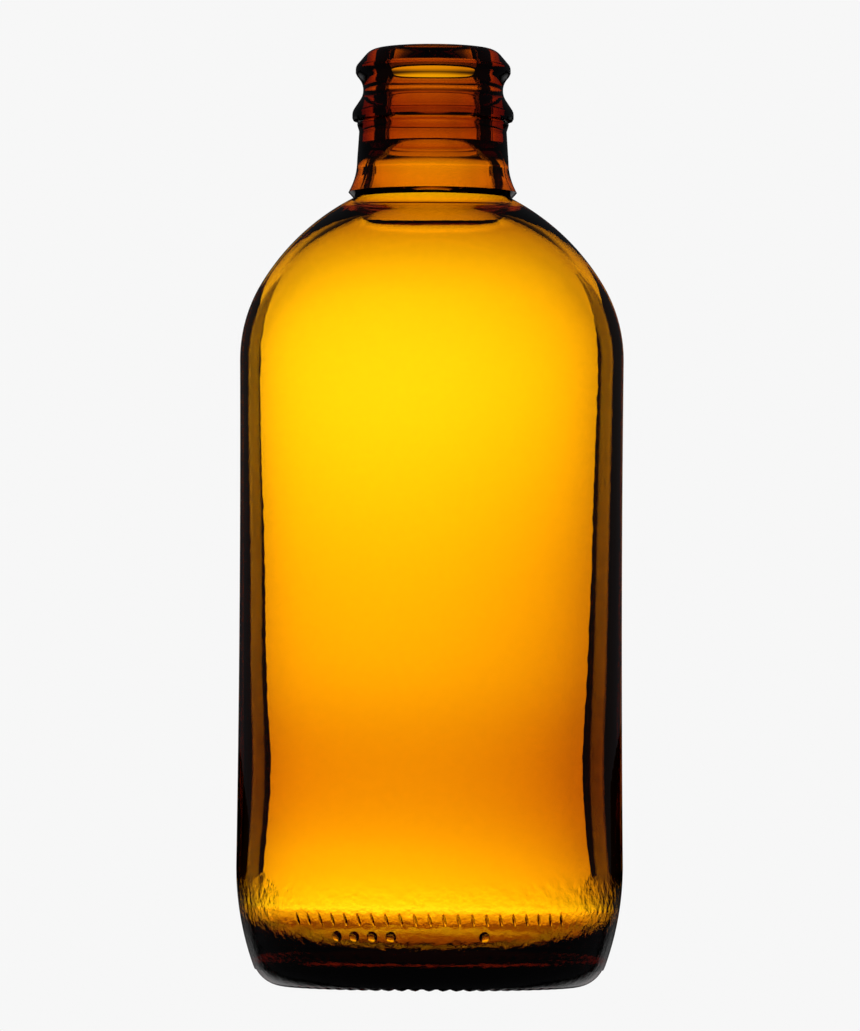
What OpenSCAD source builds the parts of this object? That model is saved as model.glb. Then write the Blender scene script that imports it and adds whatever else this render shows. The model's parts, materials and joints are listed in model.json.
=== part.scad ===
// Small round-shouldered soda bottle: one piece of moulded amber glass, open at
// the top, with a finish for a standard 26 mm crown cap.
// Millimetres, +Z up, origin under the centre of the base, front towards -Y.
// The glass is one turned wall section, plus what the moulds leave on it:
// grooves across the ring it stands on, and raised pips on the heel.

/* [Side] */
// Outer radius at the slight waist of the side
waist_r = 32.73; // [32.5:0.01:33]
// Height of that waist
waist_z = 72; // [64:1:80]
// Radius of the long hollow curve of the side
side_curve = 4100; // [3000:100:9000]
// Height where the side ends and the shoulder begins
side_top = 107.2; // [107:0.1:107.4]
// Thickness of the glass at the top of the side
side_wall = 1.55; // [1.4:0.05:1.9]
// How much thicker a long wave makes it, half way down
long_wave = 0.57; // [0:0.01:0.9]
// How much more the glass that settled low in the side adds
settle_wave = 0.72; // [0:0.02:1]
// Height of the middle of that settled glass
settle_z = 34.5; // [30:0.5:45]

/* [Shoulder] */
// Radius of the outer curve where the shoulder leaves the side
shoulder_curve = 25.1; // [24.6:0.1:25.2]
// Angle through which that curve turns
shoulder_turn = 31; // [30:0.5:32]
// Radius of the flatter curve from there to the neck
crest_curve = 39.6; // [39.2:0.1:39.7]
// Radius of the flatter curve inside the shoulder
inner_crest = 33; // [32:0.1:33.5]
// Radius of the bend inside, from shoulder to neck
throat_curve = 9; // [6:0.5:9]

/* [Heel and base] */
// Height where the side ends and the heel begins
heel_top = 20.5; // [19:0.5:22]
// Radius of the long heel curve
heel_curve = 50; // [48:1:55]
// Radius of the corner below it
corner_curve = 5.5; // [5.2:0.1:6]
// Height of the joint between base plate and body mould
joint_z = 2.9; // [2.5:0.1:3]
// How far the base plate stands back at that joint
joint_step = 0.2; // [0.1:0.05:0.25]
// Width of the flat ring that the bottle stands on
land_w = 1.3; // [1:0.1:2]
// Height of the hollow under the base
push_up = 3.2; // [2.2:0.1:3.6]
// Thickness of the glass at the middle of the base
base_wall = 3.1; // [2.6:0.1:4]
// Height of the floor inside, at its edge
floor_z = 4.6; // [4:0.1:4.7]
// Radius of the bend inside, from side to floor
inner_heel = 10; // [9:0.5:12]

/* [Base grooves] */
// Number of grooves across the ring
groove_count = 68; // [40:1:72]
// Depth of a groove
groove_depth = 0.42; // [0.2:0.02:0.5]
// Radius of a groove's round section
groove_curve = 0.85; // [0.7:0.05:0.95]

/* [Heel pips] */
// Height of the row of pips
pip_z = 9.4; // [8.5:0.1:10]
// Number of pips in the row
pip_count = 4; // [1:1:6]
// Angle of the row's first pip, left of the front
pip_start = 11.6; // [10:0.1:20]
// Angle between neighbouring pips
pip_pitch = 5.8; // [5:0.1:9]
// Angle of the pip that stands alone, right of the front
lone_pip = 16.8; // [10:0.1:30]
// Radius of the ball that a pip is the cap of
pip_ball = 1.1; // [1:0.05:1.3]
// How far a pip stands out of the glass
pip_rise = 0.5; // [0.3:0.05:0.6]

/* [Neck] */
// Outer radius at the top of the neck
neck_r = 12.66; // [12.5:0.01:12.8]
// Inner radius of the neck
neck_bore_r = 10.3; // [9.8:0.1:10.6]
// Height where the neck begins to flare
flare_z = 141.2; // [140.5:0.1:142]
// Radius of the neck there
flare_r = 13; // [12.9:0.05:13.2]
// Height of the flare's lower edge
skirt_z = 135.9; // [135.7:0.1:136.2]
// Radius of the flare's lower edge
skirt_r = 14.45; // [14.2:0.05:14.8]

/* [Crown finish] */
// Overall height of the bottle
height = 160.6; // [160.4:0.1:161.4]
// Radius of the locking ring, which a crown cap grips
locking_r = 13.3; // [13.2:0.01:13.4]
// Length of the straight band round the locking ring
locking_band = 0.6; // [0.4:0.1:0.8]
// Radius at the bottom of the groove under the locking ring
groove_r = 12; // [11.9:0.05:12.1]
// Radius of the lower ring, under that groove
lower_ring_r = 13.85; // [13.75:0.05:13.95]
// Radius of the straight bore of the mouth
mouth_r = 8.2; // [7.8:0.05:8.4]
// Height where the straight bore begins
mouth_z = 144.4; // [144:0.1:146]

/* [Hidden] */
$fn = 128;

amber = [0.72, 0.36, 0.02, 0.8];

// Points on a circle about c with radius r, from angle a to angle b.
function arc(c, r, a, b, n) =
    [for (i = [0 : n]) c + r * [cos(a + (b - a) * i / n), sin(a + (b - a) * i / n)]];

// Radius of the circle through the rim and the crown of a dome.
function dome_curve(rim_r, rise) = (rim_r * rim_r + rise * rise) / (2 * rise);

// Points on a dome from its crown, on the axis, to its rim.
function dome(rim_r, crown_z, rim_z, n) =
    let (r = dome_curve(rim_r, crown_z - rim_z))
    arc([0, crown_z - r], r, 90, acos(rim_r / r), n);

// Lengths of the two waves in the thickness of the side.
wave_l = 110;
settle_w = 14;

// Outer radius of the side at height z, and the thickness of the glass there.
function side_r(z) = waist_r + pow(z - waist_z, 2) / (2 * side_curve);
function side_glass(z) = side_wall
    + long_wave * (1 - cos(360 * (side_top - z) / wave_l)) / 2
    + settle_wave * exp(-pow((z - settle_z) / settle_w, 2));

// Heel and corner are two tangent arcs, and the corner touches the ground.
heel_c = [side_r(heel_top) - heel_curve, heel_top];
heel_turn = asin((heel_top - corner_curve) / (heel_curve - corner_curve));
corner_c = [heel_c[0] + (heel_curve - corner_curve) * cos(heel_turn), corner_curve];
joint_turn = asin((corner_curve - joint_z) / corner_curve);
land_r = corner_c[0] - joint_step;

// Outer radius of the heel at height z.
function heel_r(z) = heel_c[0] + sqrt(pow(heel_curve, 2) - pow(heel_top - z, 2));

// The shoulder is two tangent arcs outside, and two inside, where the glass thickens upwards.
shoulder_c = [side_r(side_top) - shoulder_curve, side_top];
crest_c = shoulder_c
    - (crest_curve - shoulder_curve) * [cos(shoulder_turn), sin(shoulder_turn)];
notch_r = neck_r + 0.9;
notch_turn = acos((notch_r - crest_c[0]) / crest_curve);

inner_shoulder = shoulder_curve - side_wall;
inner_crest_c = shoulder_c
    - (inner_crest - inner_shoulder) * [cos(shoulder_turn), sin(shoulder_turn)];

// The bend of the throat is tangent to the inner shoulder and to the neck's bore.
throat_reach = inner_crest + throat_curve;
throat_turn = acos((neck_bore_r + throat_curve - inner_crest_c[0]) / throat_reach);
throat_c = inner_crest_c + throat_reach * [cos(throat_turn), sin(throat_turn)];

// Ring under the base: its inner flank, next to the hollow.
flank_w = 1.6;
flank_h = 1;

// Skirt of the neck: the small bevel on its lower edge.
skirt_bevel = 0.15;
neck_top = height - 14.2;

// Bead on top of the neck, and the notch between it and the lower ring.
bead_round = 0.75;
bead_c = [neck_r - 0.4, height - 13];
bead_notch = [neck_r - 0.3, height - 12.1];

// Lower ring: a sharp underside, then a round.
lower_ring_foot = height - 12.35;
lower_ring_round = 1.5;
lower_ring_slope = 32;
lower_ring_c = [lower_ring_r - lower_ring_round, height - 11.3];
lower_ring_bevel = 0.2;

// Groove, locking ring and lip, measured down from the top.
groove_round = 3.15;
groove_c = [groove_r + groove_round, height - 7.1];
locking_foot = [locking_r - 0.22, height - 4.65];
locking_round = 1.35;
locking_c = [locking_r - locking_round, height - 3.55];
lip_slope = 40;
lip_round = 2.94;
mouth_round = 1.15;
lip_c = [mouth_r + mouth_round, height - lip_round];
mouth_c = [mouth_r + mouth_round, height - mouth_round];

// Shelf inside, where the straight bore opens, and the neck widening below it.
shelf = [mouth_r + 0.6, mouth_z - 0.25];
neck_bore_top = throat_c[1] + 0.15;

// Inner height where the side meets the bend to the floor.
inner_heel_z = floor_z + inner_heel;
inner_foot_r = side_r(inner_heel_z) - side_glass(inner_heel_z);
floor_r = inner_foot_r - inner_heel;

// Outside, from the middle of the base up to the lip.
underside = concat(
    dome(land_r - land_w - flank_w, push_up, flank_h, 6),
    [[land_r - land_w, 0]]);

heel = concat(
    arc([land_r, corner_curve], corner_curve, -90, -joint_turn, 8),
    arc(corner_c, corner_curve, -joint_turn, -heel_turn, 2),
    arc(heel_c, heel_curve, -heel_turn * 0.9, 0, 9));

side = [for (z = [heel_top + 10 : 10 : side_top - 5]) [side_r(z), z]];

shoulder = concat(
    arc(shoulder_c, shoulder_curve, 0, shoulder_turn, 7),
    arc(crest_c, crest_curve, shoulder_turn + 2, notch_turn, 9));

neck = concat(
    [[skirt_r - skirt_bevel, skirt_z - skirt_bevel]],
    [for (i = [0 : 6])
        [flare_r + (skirt_r - flare_r) * pow(1 - i / 6, 2), skirt_z + (flare_z - skirt_z) * i / 6]],
    [[neck_r, neck_top]]);

finish = concat(
    arc(bead_c, bead_round, -25, 65, 4),
    [bead_notch],
    [[lower_ring_r - lower_ring_bevel, lower_ring_foot]],
    [[lower_ring_r, lower_ring_foot + 2 * lower_ring_bevel]],
    arc(lower_ring_c, lower_ring_round, 0, lower_ring_slope, 3),
    arc(groove_c, groove_round, 180 + lower_ring_slope, 180 - lip_slope, 8),
    [locking_foot],
    [[locking_r, locking_c[1] - locking_band]],
    arc(locking_c, locking_round, 0, lip_slope, 4),
    arc(lip_c, lip_round, lip_slope, 90, 6));

// Inside, from the lip down to the middle of the floor.
mouth = concat(
    arc(mouth_c, mouth_round, 100, 180, 5),
    [[mouth_r, mouth_z]],
    [for (i = [0 : 6])
        [neck_bore_r - (neck_bore_r - shelf[0]) * pow(1 - i / 6, 2),
         shelf[1] + (neck_bore_top - shelf[1]) * i / 6]]);

inside = concat(
    arc(throat_c, throat_curve, 180, 180 + throat_turn, 6),
    arc(inner_crest_c, inner_crest, throat_turn - 4, shoulder_turn, 6),
    arc(shoulder_c, inner_shoulder, shoulder_turn - 4, 0, 6),
    [for (z = [side_top - 6 : -6 : inner_heel_z + 2]) [side_r(z) - side_glass(z), z]],
    arc([floor_r, inner_heel_z], inner_heel, 0, -90, 8));

floor_inside = dome(floor_r, push_up + base_wall, floor_z, 4);

module wall() {
    rotate_extrude()
        polygon(concat(underside, heel, side, shoulder, neck, finish, mouth, inside,
                       [for (i = [3 : -1 : 0]) floor_inside[i]]));
}

// One groove runs outwards across the ring, along +X.
module groove() {
    translate([land_r - 4, 0, groove_depth - groove_curve])
        rotate([0, 90, 0]) cylinder(r = groove_curve, h = 8);
}

// A pip at an angle from the front, positive to the right.
module pip(angle) {
    rotate([0, 0, angle - 90])
        translate([heel_r(pip_z) + pip_rise - pip_ball, 0, pip_z]) sphere(r = pip_ball);
}

module glass_bottle() {
    color(amber) {
        difference() {
            wall();
            for (i = [0 : groove_count - 1])
                rotate([0, 0, 360 * (i + 0.5) / groove_count]) groove();
        }
        for (i = [0 : pip_count - 1]) pip(-pip_start - i * pip_pitch);
        pip(lone_pip);
    }
}

glass_bottle();
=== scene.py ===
import json
import math

import bmesh
import bpy
import numpy as np
from mathutils import Matrix, Vector


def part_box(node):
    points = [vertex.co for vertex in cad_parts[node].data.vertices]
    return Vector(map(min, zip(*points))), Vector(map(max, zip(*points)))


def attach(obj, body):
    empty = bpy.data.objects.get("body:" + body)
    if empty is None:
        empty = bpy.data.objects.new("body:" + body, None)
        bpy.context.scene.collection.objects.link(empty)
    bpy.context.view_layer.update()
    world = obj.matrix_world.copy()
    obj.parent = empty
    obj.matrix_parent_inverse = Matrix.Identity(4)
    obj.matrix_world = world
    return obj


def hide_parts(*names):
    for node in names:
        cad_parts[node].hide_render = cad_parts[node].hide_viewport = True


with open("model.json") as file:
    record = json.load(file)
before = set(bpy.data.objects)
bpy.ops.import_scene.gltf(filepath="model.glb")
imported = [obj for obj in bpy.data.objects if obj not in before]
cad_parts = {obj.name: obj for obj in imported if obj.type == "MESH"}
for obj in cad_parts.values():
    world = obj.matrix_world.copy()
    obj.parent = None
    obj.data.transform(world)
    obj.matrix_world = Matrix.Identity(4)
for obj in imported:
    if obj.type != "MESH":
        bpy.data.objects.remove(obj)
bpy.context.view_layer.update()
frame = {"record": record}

# One empty bottle of amber glass, lit from behind: a turned skin with grooves under its foot, two
# seams, and pips and strokes on the heel.

# ---------------------------------------------------------------------------
# Driving sizes. The outline is drawn in millimetres, as (radius, height) points.
#
# The inside can't be seen directly, so its sizes are estimates: the waves of the side's glass, the
# inner crest, throat, neck bore and shelf, the inner heel, floor and base wall, and the notch under
# the skirt are rounded results of random searches for the real bottle's colours.
# ---------------------------------------------------------------------------
MM = 0.001
NODE = "glass_bottle"
mounts = {m["name"]: m for m in frame["record"]["mounts"]}
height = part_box(NODE)[1].z / MM
mouth_r = mounts["mouth_bore"]["dims"]["r_mm"]
locking_r = mounts["locking_ring"]["dims"]["r_mm"]

# Side: a long, slightly hollow curve, with glass of SIDE_WALL and two waves more.
WAIST_R = 32.73
WAIST_Z = 72.0
SIDE_CURVE = 4100.0
SIDE_TOP = 107.2
HEEL_TOP = 20.5
SIDE_WALL = 1.55
LONG_WAVE = 0.57
LONG_WAVE_L = 110.0
SETTLE_WAVE = 0.72
SETTLE_Z = 34.5
SETTLE_W = 14.0

# Shoulder: two tangent arcs outside and two inside, then the bend of the throat.
SHOULDER_CURVE = 25.1
SHOULDER_TURN = 31.0
CREST_CURVE = 39.6
INNER_CREST = 33.0
THROAT_CURVE = 9.0

# Heel and base.
HEEL_CURVE = 50.0
CORNER_CURVE = 5.5
JOINT_Z = 2.9
JOINT_STEP = 0.2
LAND_W = 1.3
FLANK_W = 1.6
FLANK_H = 1.0
PUSH_UP = 3.2
BASE_WALL = 3.1
FLOOR_Z = 4.6
INNER_HEEL = 10.0

# Grooves under the foot ring, and round pips on the heel.
GROOVES = 68
GROOVE_DEPTH = 0.42
GROOVE_REACH = 1.2
PIP_Z = 9.4
PIP_ANGLES = [-11.6, -17.4, -23.2, -29.0, 16.8]
PIP_BALL = 1.1
PIP_RISE = 0.5

# Generic row of raised strokes above the pips. Angles are in degrees from the front.
STROKES = 21
STROKE_START = -43.0
STROKE_PITCH = 4.3
STROKE_Z = 12.3
STROKE_SIZE = (0.32, 0.34, 1.4)
STROKE_RISE = 0.2
STROKE_TILT = 14.0

# Vertical seams of the mould, turned a little from the bottle's left and right.
SEAM_ANGLE = 8.0
SEAM_RISE = 0.05
SEAM_TOP = height - 8

# Neck: its bore widens below the mouth's shelf, and its outside flares to a skirt.
NECK_R = 12.66
NECK_TOP = height - 14.2
NOTCH_OUT = 0.9
NECK_BORE_R = 10.3
MOUTH_Z = 144.4
SHELF_W = 0.6
SHELF_DROP = 0.25
FLARE_Z = 141.2
FLARE_R = 13.0
SKIRT_Z = 135.9
SKIRT_R = 14.45
SKIRT_BEVEL = 0.15

# Finish: bead, notch, lower ring, groove, locking ring and lip, measured down from the top.
BEAD_C = (NECK_R - 0.4, height - 13)
BEAD_ROUND = 0.75
BEAD_NOTCH = (NECK_R - 0.3, height - 12.1)
RING_R = locking_r + 0.55
RING_FOOT = height - 12.35
RING_BEVEL = 0.2
RING_ROUND = 1.5
RING_C = (RING_R - RING_ROUND, height - 11.3)
RING_SLOPE = 32
GROOVE_C = (locking_r + 1.85, height - 7.1)
GROOVE_ROUND = 3.15
LOCKING_FOOT = (locking_r - 0.22, height - 4.65)
LOCKING_BAND_Z = height - 4.15
LOCKING_ROUND = 1.35
LOCKING_C = (locking_r - LOCKING_ROUND, height - 3.55)
LIP_SLOPE = 40
LIP_ROUND = 2.94
MOUTH_ROUND = 1.15
LIP_C = (mouth_r + MOUTH_ROUND, height - LIP_ROUND)
MOUTH_C = (mouth_r + MOUTH_ROUND, height - MOUTH_ROUND)

# The inside stands LEAN off the axis, and LEAN_LOW more from LEAN_LOW_Z down. The lean sets in between
# LEAN_START_Z and LEAN_FULL_Z, and fades out between LEAN_FADE_Z and LEAN_END_Z.
LEAN = 0.14
LEAN_LOW = 0.10
LEAN_LOW_Z = 45
LEAN_START_Z = 8
LEAN_FULL_Z = 22
LEAN_FADE_Z = 118
LEAN_END_Z = 138

# Ripples of the inside: height in mm, waves round the axis, twist per mm of height, and start.
RIPPLES = [(0.006, 3, 0.11, 0.0), (0.004, 5, -0.17, 1.3)]

# Bump of the glass: faint waves all over, and crinkles that set in over CRINKLE_FADE below CRINKLE_TOP.
# The scales are in cells of noise per metre, the heights in mm.
WAVE_SCALE = 450.0
WAVE_HEIGHT = 0.004
CRINKLE_SCALE = 600.0
CRINKLE_DETAIL = 4.0
CRINKLE_HEIGHT = 0.1
CRINKLE_TOP = 19.8
CRINKLE_FADE = 2.4

# Columns of the turned skin, five to each groove, and the angle from which an edge is sharp.
COLUMNS = GROOVES * 5
SHARP_ANGLE = 25


# ---------------------------------------------------------------------------
# Outline of the glass
# ---------------------------------------------------------------------------
def arc(centre, radius, start, end, step=0.5):
    """Points on a circle from angle start to angle end, in degrees, about step mm apart."""
    count = max(2, int(abs(math.radians(end - start)) * radius / step))
    angles = [math.radians(start + (end - start) * i / count) for i in range(count + 1)]
    return [(centre[0] + radius * math.cos(a), centre[1] + radius * math.sin(a)) for a in angles]


def line(start, end, step=1.0):
    """Points on a straight stretch, without its two ends."""
    count = max(1, int(math.dist(start, end) / step))
    return [tuple(start[k] + (end[k] - start[k]) * i / count for k in (0, 1)) for i in range(1, count)]


def dome(rim_r, crown_z, rim_z, step=2.0):
    """Points on a dome from its crown, on the axis, to its rim."""
    rise = crown_z - rim_z
    radius = (rim_r ** 2 + rise ** 2) / (2 * rise)
    return arc((0, crown_z - radius), radius, 90, math.degrees(math.acos(rim_r / radius)), step)


def side_r(z):
    """Outer radius of the side."""
    return WAIST_R + (z - WAIST_Z) ** 2 / (2 * SIDE_CURVE)


def side_glass(z):
    """Thickness of the side: a long wave, and a shorter one where the blown glass settled."""
    turn = 2 * math.pi * (SIDE_TOP - z) / LONG_WAVE_L
    settle = math.exp(-((z - SETTLE_Z) / SETTLE_W) ** 2)
    return SIDE_WALL + LONG_WAVE * (1 - math.cos(turn)) / 2 + SETTLE_WAVE * settle


# Heel, corner and foot ring.
heel_c = (side_r(HEEL_TOP) - HEEL_CURVE, HEEL_TOP)
heel_turn = math.degrees(math.asin((HEEL_TOP - CORNER_CURVE) / (HEEL_CURVE - CORNER_CURVE)))
corner_c = (heel_c[0] + (HEEL_CURVE - CORNER_CURVE) * math.cos(math.radians(heel_turn)), CORNER_CURVE)
joint_turn = math.degrees(math.asin((CORNER_CURVE - JOINT_Z) / CORNER_CURVE))
land_r = corner_c[0] - JOINT_STEP

# Shoulder outside, down to the notch under the skirt.
shoulder_lean = math.radians(SHOULDER_TURN)
shoulder_c = (side_r(SIDE_TOP) - SHOULDER_CURVE, SIDE_TOP)
crest_c = (shoulder_c[0] - (CREST_CURVE - SHOULDER_CURVE) * math.cos(shoulder_lean),
           shoulder_c[1] - (CREST_CURVE - SHOULDER_CURVE) * math.sin(shoulder_lean))
notch_r = NECK_R + NOTCH_OUT
notch_turn = math.degrees(math.acos((notch_r - crest_c[0]) / CREST_CURVE))

# Shoulder and throat inside, up to the neck.
inner_shoulder = SHOULDER_CURVE - SIDE_WALL
inner_crest_c = (shoulder_c[0] - (INNER_CREST - inner_shoulder) * math.cos(shoulder_lean),
                 shoulder_c[1] - (INNER_CREST - inner_shoulder) * math.sin(shoulder_lean))
throat_reach = INNER_CREST + THROAT_CURVE
throat_turn = math.degrees(math.acos((NECK_BORE_R + THROAT_CURVE - inner_crest_c[0]) / throat_reach))
throat_c = (inner_crest_c[0] + throat_reach * math.cos(math.radians(throat_turn)),
            inner_crest_c[1] + throat_reach * math.sin(math.radians(throat_turn)))
neck_bore_z = throat_c[1] + 0.15

# Bend from the side to the floor inside.
inner_heel_z = FLOOR_Z + INNER_HEEL
inner_foot_r = side_r(inner_heel_z) - side_glass(inner_heel_z)
floor_r = inner_foot_r - INNER_HEEL


def base_outline():
    """From the middle of the underside to the end of the heel."""
    points = dome(land_r - LAND_W - FLANK_W, PUSH_UP, FLANK_H)
    points += line(points[-1], (land_r - LAND_W, 0), 0.5)
    points += [(land_r - LAND_W, 0)]
    points += line(points[-1], (land_r, 0), 0.5)
    points += arc((land_r, CORNER_CURVE), CORNER_CURVE, -90, -joint_turn, 0.45)
    points += arc(corner_c, CORNER_CURVE, -joint_turn, -heel_turn, 0.45)
    points += arc(heel_c, HEEL_CURVE, -heel_turn, 0, 0.7)[1:]
    return points


def side_outline(step=5.0):
    """Between heel and shoulder, without either end."""
    count = int((SIDE_TOP - HEEL_TOP) / step)
    heights = [HEEL_TOP + (SIDE_TOP - HEEL_TOP) * i / count for i in range(1, count)]
    return [(side_r(z), z) for z in heights]


def shoulder_outline():
    """From the side up to the notch under the skirt."""
    points = arc(shoulder_c, SHOULDER_CURVE, 0, SHOULDER_TURN, 1.2)
    points += arc(crest_c, CREST_CURVE, SHOULDER_TURN, notch_turn, 1.0)[1:]
    return points


def neck_outline(count=9):
    """The skirt's bevelled edge, its flare and the neck above it."""
    points = [(SKIRT_R - SKIRT_BEVEL, SKIRT_Z - SKIRT_BEVEL)]
    for i in range(count + 1):
        up = i / count
        points.append((FLARE_R + (SKIRT_R - FLARE_R) * (1 - up) ** 2, SKIRT_Z + (FLARE_Z - SKIRT_Z) * up))
    top = (NECK_R, NECK_TOP)
    points += line(points[-1], top, 0.8) + [top]
    return points


def finish_outline():
    """Bead, notch, lower ring, groove, locking ring and lip."""
    points = arc(BEAD_C, BEAD_ROUND, -25, 65, 0.25)
    points += [BEAD_NOTCH, (RING_R - RING_BEVEL, RING_FOOT), (RING_R, RING_FOOT + 2 * RING_BEVEL)]
    points += arc(RING_C, RING_ROUND, 0, RING_SLOPE, 0.3)
    points += arc(GROOVE_C, GROOVE_ROUND, 180 + RING_SLOPE, 180 - LIP_SLOPE, 0.3)
    points += [LOCKING_FOOT, (locking_r, LOCKING_BAND_Z)]
    points += arc(LOCKING_C, LOCKING_ROUND, 0, LIP_SLOPE, 0.25)
    points += arc(LIP_C, LIP_ROUND, LIP_SLOPE, 90, 0.3)
    return points


def mouth_outline(count=8):
    """From the lip down the straight bore, over its shelf and down the widening neck."""
    points = arc(MOUTH_C, MOUTH_ROUND, 100, 180, 0.25)
    bore_foot = (mouth_r, MOUTH_Z)
    points += line(points[-1], bore_foot, 1.2) + [bore_foot]
    shelf = (mouth_r + SHELF_W, MOUTH_Z - SHELF_DROP)
    for i in range(count):
        up = 1 - i / count
        points.append((NECK_BORE_R - (NECK_BORE_R - shelf[0]) * up ** 2,
                       neck_bore_z + (shelf[1] - neck_bore_z) * up))
    return points + [(NECK_BORE_R, neck_bore_z)]


def inside_outline():
    """From the throat down to the middle of the floor."""
    points = arc(throat_c, THROAT_CURVE, 180, 180 + throat_turn, 0.6)
    points += arc(inner_crest_c, INNER_CREST, throat_turn, SHOULDER_TURN, 1.2)[1:]
    points += arc(shoulder_c, inner_shoulder, SHOULDER_TURN, 0, 1.2)[1:]
    points += [(r - side_glass(z), z) for r, z in reversed(side_outline(3.0))]
    points += arc((floor_r, inner_heel_z), INNER_HEEL, 0, -90, 0.7)
    points += dome(floor_r, PUSH_UP + BASE_WALL, FLOOR_Z)[::-1][1:]
    return points


# ---------------------------------------------------------------------------
# Turned mesh
# ---------------------------------------------------------------------------
def lathe(rings, columns):
    """Points of every ring round the axis, as an array of rings by columns by x, y, z."""
    rings = np.array(rings)
    angle = np.arange(columns) * 2 * math.pi / columns
    grid = np.empty((len(rings), columns, 3))
    grid[:, :, 0] = rings[:, :1] * np.cos(angle)
    grid[:, :, 1] = rings[:, :1] * np.sin(angle)
    grid[:, :, 2] = rings[:, 1:2]
    return grid


def grid_mesh(name, grid):
    """A closed skin through the grid: its first and last ring are each one point on the axis."""
    rings, columns, _ = grid.shape
    inner = grid[1:-1].reshape(-1, 3)
    points = np.vstack([grid[0, :1], inner, grid[-1, :1]]) * MM
    last = len(points) - 1
    faces = []
    for i in range(columns):
        j = (i + 1) % columns
        faces.append((0, 1 + j, 1 + i))
        faces.append((last, last - columns + i, last - columns + j))
    for k in range(rings - 3):
        row = 1 + k * columns
        for i in range(columns):
            j = (i + 1) % columns
            faces.append((row + i, row + j, row + columns + j, row + columns + i))
    mesh = bpy.data.meshes.new(name)
    mesh.from_pydata(points.tolist(), [], faces)
    mesh.update()
    return mesh


def glass_mesh():
    outside = base_outline() + side_outline() + shoulder_outline() + neck_outline() + finish_outline()
    inside = mouth_outline() + inside_outline()
    grid = lathe(outside + inside, COLUMNS)
    carve_grooves(grid, len(outside))
    raise_seams(grid, len(outside))
    shift_inside(grid, len(outside))
    return grid_mesh("glass_bottle_body", grid)


def angle_of(grid):
    return np.arctan2(grid[..., 1], grid[..., 0])


def carve_grooves(grid, outer_rings):
    """Radial grooves across the ring that the bottle stands on."""
    part = grid[:outer_rings]
    radius = np.hypot(part[..., 0], part[..., 1])
    wave = 0.5 - 0.5 * np.cos(angle_of(part) * GROOVES)
    depth = GROOVE_DEPTH * wave
    reach = (radius > land_r - LAND_W - GROOVE_REACH) & (part[..., 2] < GROOVE_DEPTH)
    part[..., 2] = np.where(reach, np.maximum(part[..., 2], depth), part[..., 2])


def raise_seams(grid, outer_rings):
    """A low ridge up each side, from the heel to the groove of the finish."""
    part = grid[:outer_rings]
    angle = angle_of(part)
    pitch = 2 * math.pi / COLUMNS
    for side in (0, math.pi):
        away = np.abs((angle - side - math.radians(SEAM_ANGLE) + math.pi) % (2 * math.pi) - math.pi)
        ridge = SEAM_RISE * np.clip(1.5 - away / pitch, 0, 1)
        ridge = np.where((part[..., 2] > JOINT_Z) & (part[..., 2] < SEAM_TOP), ridge, 0)
        part[..., 0] += ridge * np.cos(angle)
        part[..., 1] += ridge * np.sin(angle)


def shift_inside(grid, outer_rings):
    """The glass is thicker towards +X, most of all low down, and its inside is faintly wavy."""
    part = grid[outer_rings:]
    angle = angle_of(part)
    z = part[..., 2]
    share = np.clip((SIDE_TOP - z) / (SIDE_TOP - LEAN_LOW_Z), 0, 1)
    rise = np.clip((z - LEAN_START_Z) / (LEAN_FULL_Z - LEAN_START_Z), 0, 1)
    fade = rise * np.clip((LEAN_END_Z - z) / (LEAN_END_Z - LEAN_FADE_Z), 0, 1)
    part[..., 0] -= (LEAN + LEAN_LOW * share) * fade
    ripple = sum(size * np.sin(waves * angle + z * twist + start) for size, waves, twist, start in RIPPLES)
    ripple = ripple * fade
    part[..., 0] += ripple * np.cos(angle)
    part[..., 1] += ripple * np.sin(angle)


# ---------------------------------------------------------------------------
# Raised marks on the heel
# ---------------------------------------------------------------------------
def heel_r(z):
    return heel_c[0] + math.sqrt(HEEL_CURVE ** 2 - (HEEL_TOP - z) ** 2)


def on_heel(degrees, z, depth):
    """Place at an angle from the front, positive to the right, depth mm inside the heel's surface."""
    turn = Matrix.Rotation(math.radians(degrees - 90), 4, "Z")
    return turn @ Matrix.Translation(Vector((heel_r(z) - depth, 0, z)) * MM)


def heel_marks():
    """Pips and strokes as one object of separate rounds."""
    marks = bmesh.new()
    for degrees in PIP_ANGLES:
        place = on_heel(degrees, PIP_Z, PIP_BALL - PIP_RISE)
        bmesh.ops.create_icosphere(marks, subdivisions=3, radius=PIP_BALL * MM, matrix=place)
    for i in range(STROKES):
        place = on_heel(STROKE_START + i * STROKE_PITCH, STROKE_Z, STROKE_SIZE[0] - STROKE_RISE)
        shape = Matrix.Rotation(math.radians(STROKE_TILT), 4, "X") @ Matrix.Diagonal((*STROKE_SIZE, 1))
        bmesh.ops.create_icosphere(marks, subdivisions=2, radius=MM, matrix=place @ shape)
    mesh = bpy.data.meshes.new("heel_marks")
    marks.to_mesh(mesh)
    marks.free()
    return mesh


def fuse(piece, mesh):
    """Joins a closed mesh to the piece, so that the two are one skin."""
    extra = bpy.data.objects.new(mesh.name, mesh)
    bpy.context.scene.collection.objects.link(extra)
    union = piece.modifiers.new("union", "BOOLEAN")
    union.operation = "UNION"
    union.solver = "EXACT"
    union.object = extra
    graph = bpy.context.evaluated_depsgraph_get()
    piece.data = bpy.data.meshes.new_from_object(piece.evaluated_get(graph))
    piece.modifiers.clear()
    bpy.data.objects.remove(extra)


# ---------------------------------------------------------------------------
# Materials
# ---------------------------------------------------------------------------
GLASS_IOR = 1.52
AMBER = (0.909, 0.807, 0.0)
AMBER_DENSITY = 2200.0


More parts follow.
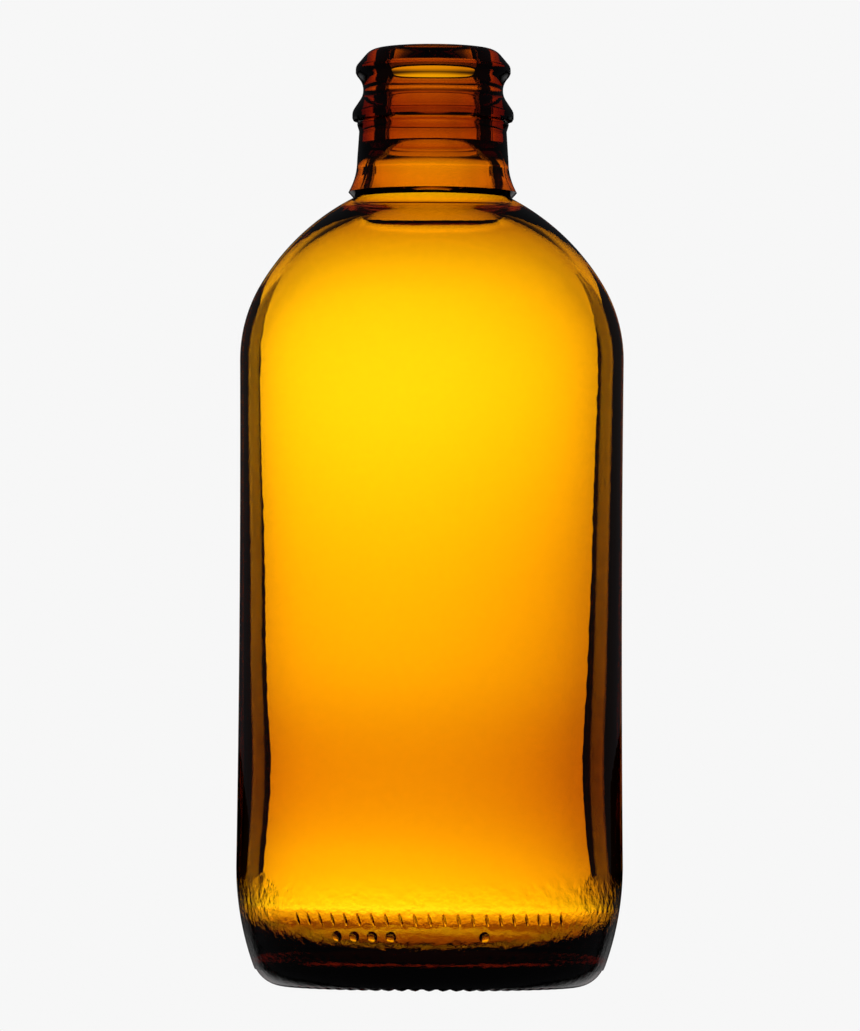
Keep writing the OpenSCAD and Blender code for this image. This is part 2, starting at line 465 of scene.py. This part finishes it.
def noise_height(tree, place, scale, detail, height_mm):
    """Noise times a height in mm."""
    noise = tree.nodes.new("ShaderNodeTexNoise")
    noise.inputs["Scale"].default_value = scale
    noise.inputs["Detail"].default_value = detail
    size = tree.nodes.new("ShaderNodeMath")
    size.operation = "MULTIPLY"
    size.inputs[1].default_value = height_mm * MM
    tree.links.new(place.outputs["Object"], noise.inputs["Vector"])
    tree.links.new(noise.outputs["Fac"], size.inputs[0])
    return size.outputs[0]


def add_waviness(tree, shader):
    """Faint waves all over the glass, and crinkles on the heel where the mould was cold."""
    place = tree.nodes.new("ShaderNodeTexCoord")
    faint = noise_height(tree, place, WAVE_SCALE, 1.0, WAVE_HEIGHT)
    crinkle = noise_height(tree, place, CRINKLE_SCALE, CRINKLE_DETAIL, CRINKLE_HEIGHT)
    axes = tree.nodes.new("ShaderNodeSeparateXYZ")
    low_down = tree.nodes.new("ShaderNodeMapRange")
    low_down.inputs["From Min"].default_value = CRINKLE_TOP * MM
    low_down.inputs["From Max"].default_value = (CRINKLE_TOP - CRINKLE_FADE) * MM
    total = tree.nodes.new("ShaderNodeMath")
    total.operation = "MULTIPLY_ADD"
    bump = tree.nodes.new("ShaderNodeBump")
    bump.inputs["Strength"].default_value = 1.0
    bump.inputs["Distance"].default_value = 1.0
    tree.links.new(place.outputs["Object"], axes.inputs[0])
    tree.links.new(axes.outputs["Z"], low_down.inputs["Value"])
    tree.links.new(crinkle, total.inputs[0])
    tree.links.new(low_down.outputs["Result"], total.inputs[1])
    tree.links.new(faint, total.inputs[2])
    tree.links.new(total.outputs[0], bump.inputs["Height"])
    tree.links.new(bump.outputs["Normal"], shader.inputs["Normal"])


def amber_glass():
    """Clear glass whose colour comes from the thickness that light crosses."""
    material = bpy.data.materials.new("amber_glass")
    material.use_nodes = True
    tree = material.node_tree
    shader = tree.nodes["Principled BSDF"]
    shader.inputs["Base Color"].default_value = (1, 1, 1, 1)
    shader.inputs["Roughness"].default_value = 0.0
    shader.inputs["IOR"].default_value = GLASS_IOR
    shader.inputs["Transmission Weight"].default_value = 1.0
    absorption = tree.nodes.new("ShaderNodeVolumeAbsorption")
    absorption.inputs["Color"].default_value = (*AMBER, 1)
    absorption.inputs["Density"].default_value = AMBER_DENSITY
    output = tree.nodes["Material Output"]
    tree.links.new(absorption.outputs["Volume"], output.inputs["Volume"])
    add_waviness(tree, shader)
    return material


def glowing(name, colour, strength, attribute=None):
    """Plain light of one strength, or of the strength that a mesh attribute holds."""
    material = bpy.data.materials.new(name)
    material.use_nodes = True
    tree = material.node_tree
    tree.nodes.clear()
    emission = tree.nodes.new("ShaderNodeEmission")
    emission.inputs["Color"].default_value = (*colour, 1)
    emission.inputs["Strength"].default_value = strength
    output = tree.nodes.new("ShaderNodeOutputMaterial")
    tree.links.new(emission.outputs["Emission"], output.inputs["Surface"])
    if attribute:
        reader = tree.nodes.new("ShaderNodeAttribute")
        reader.attribute_name = attribute
        tree.links.new(reader.outputs["Fac"], emission.inputs["Strength"])
    return material


# ---------------------------------------------------------------------------
# Camera, lights and stage
# ---------------------------------------------------------------------------
PALE = 0.93
DIM = (0.02, 0.02, 0.022)
FLOOR_R = 0.5
FLOOR_SIDES = 64

# The camera stands CAMERA_FAR mm before the axis and CAMERA_Z mm up, and looks up by TILT degrees.
CAMERA_Z = 42.5
CAMERA_FAR = 1173.0
LENS = 239.2
SENSOR = 36.0
TILT = 1.856
ROLL = 0.265
AIM_LEFT = 0.20

# The large light, PANEL_FAR m from the bottle: its brightness over the angle above level, in degrees,
# and its share of that over the angle across. The points are rounded from what a trace of the rays
# through this glass asked for, to give the real bottle's colours. So they suit this wall and this
# amber alone, and say nothing about either.
PANEL_FAR = 6.0
PANEL_UP = [(-45, 0.0), (-32, 0.3), (-24, 1.2), (-15, 2.2), (-5, 2.8), (-2.5, 3.1), (0, 3.2), (2.5, 3.25),
            (5, 3.0), (7, 2.65), (10, 2.4), (18, 2.3), (23, 2.0), (28, 0.2), (32, 0.0)]
PANEL_ACROSS = [(-33, 0.0), (-29, 1.1), (-14, 1.05), (-9, 0.97), (-4, 1.02), (0, 0.98), (4, 0.93),
                (8.6, 0.82), (14, 0.95), (29, 1.05), (33, 0.0)]

# The sheen, at angles across and up from the line of view: start, full, fade and end.
HEEL_SHEEN = 0.35
SHEEN_ACROSS = (2, 9, 14, 40)
SHEEN_UP = (-48, -24, -16, -4)

# Cards CARD_FAR mm beyond the axis. The side cards are dim. Between them and below the body, each step
# glows from its own top down to the next one's, in mm from the middle of the bottle's height.
CARD_FAR = 60.0
CARD_EDGE = 38.5
CARD_OUT = 250.0
CARD_TOP = 55.0
SIDE_GLOW = 0.01
CARD_STEPS = [(-66.0, 3.3), (-69.5, 2.6), (-74.0, 1.9), (-98.0, 1.0), (-116.0, 0.0), (-160.0, 0.0)]
WARM = (1.0, 0.72, 0.3)


def add_camera():
    data = bpy.data.cameras.new("camera")
    data.lens = LENS
    data.sensor_width = SENSOR
    camera = bpy.data.objects.new("camera", data)
    camera.location = Vector((-AIM_LEFT, -CAMERA_FAR, CAMERA_Z)) * MM
    camera.rotation_euler = (Matrix.Rotation(math.radians(90 + TILT), 3, "X")
                             @ Matrix.Rotation(math.radians(ROLL), 3, "Z")).to_euler()
    bpy.context.scene.collection.objects.link(camera)
    bpy.context.scene.camera = camera
    return camera


def smooth_step(value, start, end):
    """From 0 at start to 1 at end, without a corner."""
    share = np.clip((value - start) / (end - start), 0, 1)
    return share * share * (3 - 2 * share)


def hump(value, start, full, fade, end):
    """From 0 at start to 1 between full and fade, and back to 0 at end, without a corner."""
    return smooth_step(value, start, full) * (1 - smooth_step(value, fade, end))


def panel_glow(across, up):
    """Brightness of the large light, at angles in degrees from the line of view."""
    level = np.interp(up + TILT, *zip(*PANEL_UP))
    return level * np.interp(across, *zip(*PANEL_ACROSS))


def add_patch(camera, name, across_range, up_range, glow_at, step=1.0):
    """A patch of a large sphere round the bottle, which keeps its place in the camera's view."""
    across, up = np.meshgrid(np.arange(across_range[0], across_range[1] + step / 2, step),
                             np.arange(up_range[0], up_range[1] + step / 2, step))
    east = np.radians(across)
    north = np.radians(up)
    points = np.stack([np.sin(east) * np.cos(north), np.sin(north), -np.cos(east) * np.cos(north)], -1)
    points = points.reshape(-1, 3) * PANEL_FAR - np.array([0, 0, CAMERA_FAR * MM])
    rows, columns = across.shape
    faces = []
    for r in range(rows - 1):
        for c in range(columns - 1):
            first = r * columns + c
            faces.append((first, first + 1, first + columns + 1, first + columns))
    mesh = bpy.data.meshes.new(name)
    mesh.from_pydata(points.tolist(), [], faces)
    glow = mesh.attributes.new("glow", "FLOAT", "POINT")
    glow.data.foreach_set("value", glow_at(across, up).ravel().astype(np.float32))
    mesh.materials.append(glowing(name, (1, 1, 1), 1.0, "glow"))
    patch = bpy.data.objects.new(name, mesh)
    patch.parent = camera
    bpy.context.scene.collection.objects.link(patch)
    return patch


def heel_sheen(across, up):
    """Low light from behind on either side, which the heel's corners reflect."""
    return HEEL_SHEEN * hump(np.abs(across), *SHEEN_ACROSS) * hump(up, *SHEEN_UP)


def add_lights(camera):
    """The large light, seen through the glass alone, and the sheen, seen as a reflection alone."""
    unlit(add_patch(camera, "light_panel", (-36, 36), (-48, 34), panel_glow, 0.5))
    sheen = add_patch(camera, "heel_sheen", (-42, 42), (-50, -2), heel_sheen)
    unlit(sheen, glossy=True)
    sheen.visible_transmission = False


def unlit(obj, glossy=False):
    """Only rays through the glass see obj, and reflected ones too if it is glossy."""
    obj.visible_camera = False
    obj.visible_glossy = glossy
    obj.visible_diffuse = False
    obj.visible_shadow = False


def add_card(holder, left, right, bottom, top, glow, colour=(1, 1, 1)):
    """An upright card beyond the bottle, as the holder turns it."""
    corners = [(x, y, -CARD_FAR) for y in (bottom, top) for x in (left, right)]
    mesh = bpy.data.meshes.new("card")
    mesh.from_pydata([tuple(MM * v for v in corner) for corner in corners], [], [(0, 1, 3, 2)])
    mesh.materials.append(glowing("card_light", colour, glow))
    card = bpy.data.objects.new("card", mesh)
    card.parent = holder
    bpy.context.scene.collection.objects.link(card)
    unlit(card)


def add_cards(camera):
    """Cards beyond the body's sides and foot, which stay there as the camera goes round."""
    holder = bpy.data.objects.new("card_holder", None)
    holder.location = (0, 0, height / 2 * MM)
    turn = holder.constraints.new("COPY_ROTATION")
    turn.target = camera
    bpy.context.scene.collection.objects.link(holder)
    lowest = CARD_STEPS[-1][0]
    add_card(holder, -CARD_OUT, -CARD_EDGE, lowest, CARD_TOP, SIDE_GLOW)
    add_card(holder, CARD_EDGE, CARD_OUT, lowest, CARD_TOP, SIDE_GLOW)
    for (top, glow), (bottom, _) in zip(CARD_STEPS, CARD_STEPS[1:]):
        add_card(holder, -CARD_EDGE, CARD_EDGE, bottom, top, glow, WARM)


def add_world():
    """Pale to the camera, and dim to the light that the glass bends or reflects."""
    world = bpy.data.worlds.new("world")
    world.use_nodes = True
    bpy.context.scene.world = world
    tree = world.node_tree
    tree.nodes.clear()
    seen = tree.nodes.new("ShaderNodeBackground")
    seen.inputs["Color"].default_value = (PALE, PALE, PALE, 1)
    dim = tree.nodes.new("ShaderNodeBackground")
    dim.inputs["Color"].default_value = (*DIM, 1)
    path = tree.nodes.new("ShaderNodeLightPath")
    mix = tree.nodes.new("ShaderNodeMixShader")
    output = tree.nodes.new("ShaderNodeOutputWorld")
    tree.links.new(path.outputs["Is Camera Ray"], mix.inputs[0])
    tree.links.new(dim.outputs[0], mix.inputs[1])
    tree.links.new(seen.outputs[0], mix.inputs[2])
    tree.links.new(mix.outputs[0], output.inputs["Surface"])


def add_floor():
    """A pale floor of the backdrop's own tone, which only the camera sees."""
    rim = [(math.cos(a), math.sin(a)) for a in np.arange(FLOOR_SIDES) * 2 * math.pi / FLOOR_SIDES]
    mesh = bpy.data.meshes.new("floor")
    mesh.from_pydata([(FLOOR_R * x, FLOOR_R * y, 0) for x, y in rim], [], [tuple(range(FLOOR_SIDES))])
    mesh.materials.append(glowing("floor", (PALE, PALE, PALE), 1.0))
    floor = bpy.data.objects.new("floor", mesh)
    bpy.context.scene.collection.objects.link(floor)
    unlit(floor)
    floor.visible_camera = True
    floor.visible_transmission = False


def link_piece(name, mesh, material):
    piece = bpy.data.objects.new(name, mesh)
    bpy.context.scene.collection.objects.link(piece)
    mesh.materials.append(material)
    return piece


camera = add_camera()
add_lights(camera)
add_cards(camera)
add_world()
add_floor()
bpy.context.scene.view_settings.view_transform = "Standard"

bottle = link_piece("glass_bottle_body", glass_mesh(), amber_glass())
fuse(bottle, heel_marks())
bottle.data.shade_smooth()
bottle.data.set_sharp_from_angle(angle=math.radians(SHARP_ANGLE))
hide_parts(NODE)
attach(bottle, "root")
